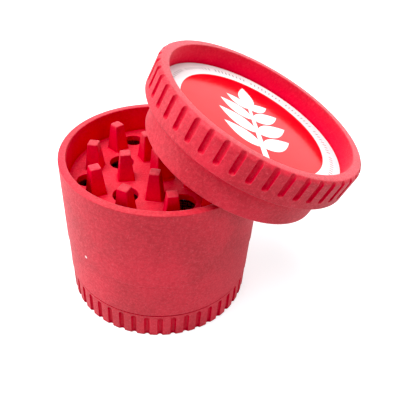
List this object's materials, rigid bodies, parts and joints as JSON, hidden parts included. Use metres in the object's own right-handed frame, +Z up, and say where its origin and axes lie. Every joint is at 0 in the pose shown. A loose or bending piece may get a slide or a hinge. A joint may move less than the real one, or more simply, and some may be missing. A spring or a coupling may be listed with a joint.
{
  "type": "herb grinder",
  "caption": "Round moulded hand grinder with a toothed lid, toothed chamber, screened catch section and ribbed base cup, shown open with its lid leaning on the rim.",
  "frame": {"origin": "centre of the base cup's underside, on the stack's axis", "axes": "+Z up along the stack's axis, +X towards the side the lid leans on"},
  "size_m": [0.0796, 0.0581, 0.0719],
  "materials": {
    "hemp_plastic": "matte fibre-filled moulded plastic",
    "screen_steel": "woven stainless wire",
    "ring_steel": "rolled stainless ring",
    "magnet_nickel": "nickel-plated magnet",
    "printed_label": "printed film label"
  },
  "bodies": {
    "base": {"base_cup": "hemp_plastic"},
    "screen_ring": {"screen_ring": "ring_steel"},
    "middle": {"mid_chamber": "hemp_plastic", "screen_mesh": "screen_steel"},
    "post_magnet": {"chamber_magnet": "magnet_nickel"},
    "chamber": {"grinding_chamber": "hemp_plastic"},
    "lid_magnet": {"lid_magnet": "magnet_nickel"},
    "lid": {"lid_shell": "hemp_plastic", "lid_label": "printed_label"}
  },
  "joints": [
    {"name": "middle_lift", "type": "slide", "parent": "base", "child": "screen_ring", "axis": [0, 0, 1], "range_m": [0, 0.01201]},
    {"name": "middle_unscrew", "type": "hinge", "parent": "screen_ring", "child": "middle", "pos_m": [0, 0, 0.0087], "axis": [0, 0, 1], "range_deg": [0, 480]},
    {"name": "chamber_lift", "type": "slide", "parent": "middle", "child": "post_magnet", "axis": [0, 0, 1], "range_m": [0, 0.01201]},
    {"name": "chamber_unscrew", "type": "hinge", "parent": "post_magnet", "child": "chamber", "pos_m": [0, 0, 0.0207], "axis": [0, 0, 1], "range_deg": [0, 480]},
    {"name": "lid_lift", "type": "slide", "parent": "chamber", "child": "lid_magnet", "axis": [0.3807, 0.0166, 0.9245], "range_m": [0, 0.03]},
    {"name": "lid_turn", "type": "hinge", "parent": "lid_magnet", "child": "lid", "pos_m": [0.0256, 0.0004, 0.0611], "axis": [0.3807, 0.0166, 0.9245], "continuous": true}
  ],
  "couplings": [
    {"joint": "middle_lift", "follows": "middle_unscrew", "m_per_rad": 0.0014324},
    {"joint": "chamber_lift", "follows": "chamber_unscrew", "m_per_rad": 0.0014324}
  ]
}
